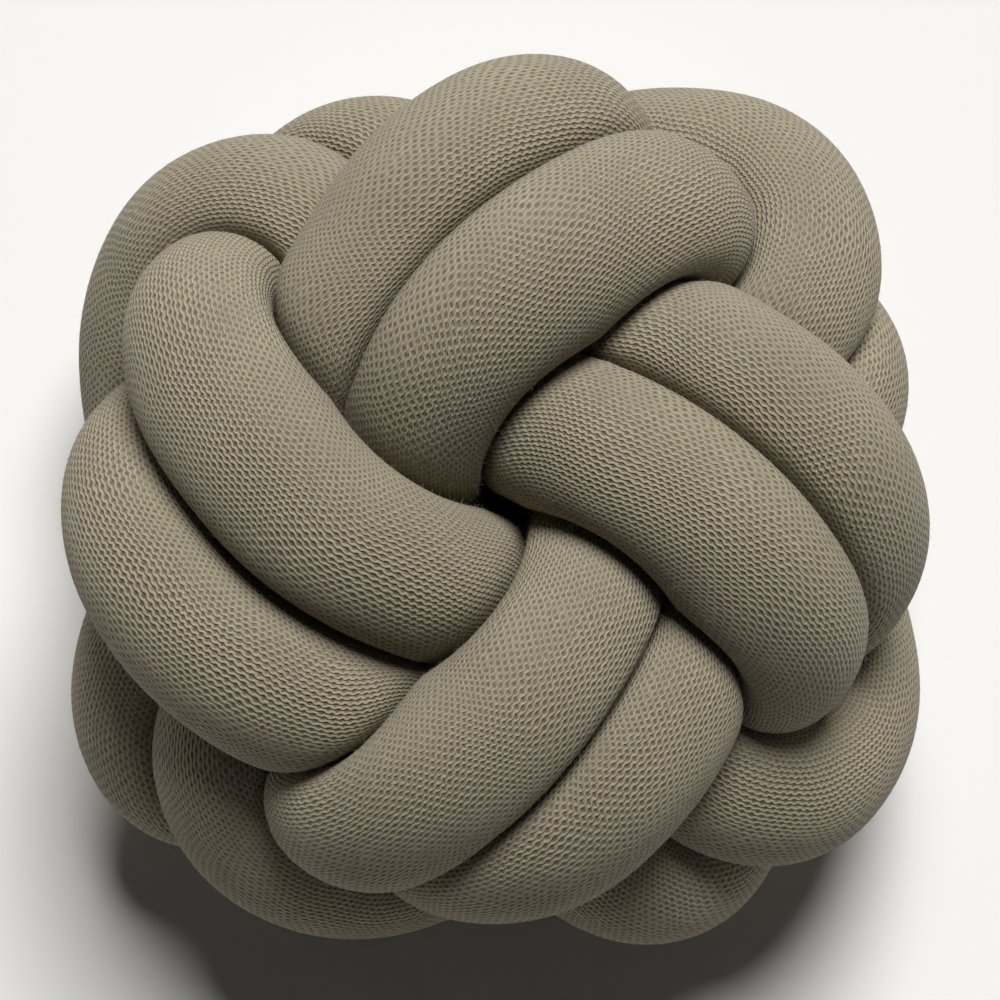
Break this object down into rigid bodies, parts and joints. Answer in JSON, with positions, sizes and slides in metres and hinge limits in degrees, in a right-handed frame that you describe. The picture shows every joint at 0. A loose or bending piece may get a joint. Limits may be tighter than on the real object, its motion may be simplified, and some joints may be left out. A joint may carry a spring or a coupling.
{
  "type": "knot cushion",
  "caption": "Round cushion tied from one long stuffed knitted tube, laid double and woven over and under into a flattened ball with a small hollow in the middle.",
  "frame": {"origin": "middle of the cushion's box on the surface it lies on", "axes": "+Z out of the front of the knot, -Z into the surface; +Y towards the top of the front view and +X to its right"},
  "size_m": [0.2936, 0.2994, 0.1906],
  "materials": {
    "taupe_knit": "matt fine-gauge wool-mix knit, stretched over filling, lighter yarn ridges and darker gaps between the stitches"
  },
  "bodies": {
    "root": {"knotted_tube": "taupe_knit"}
  },
  "joints": []
}
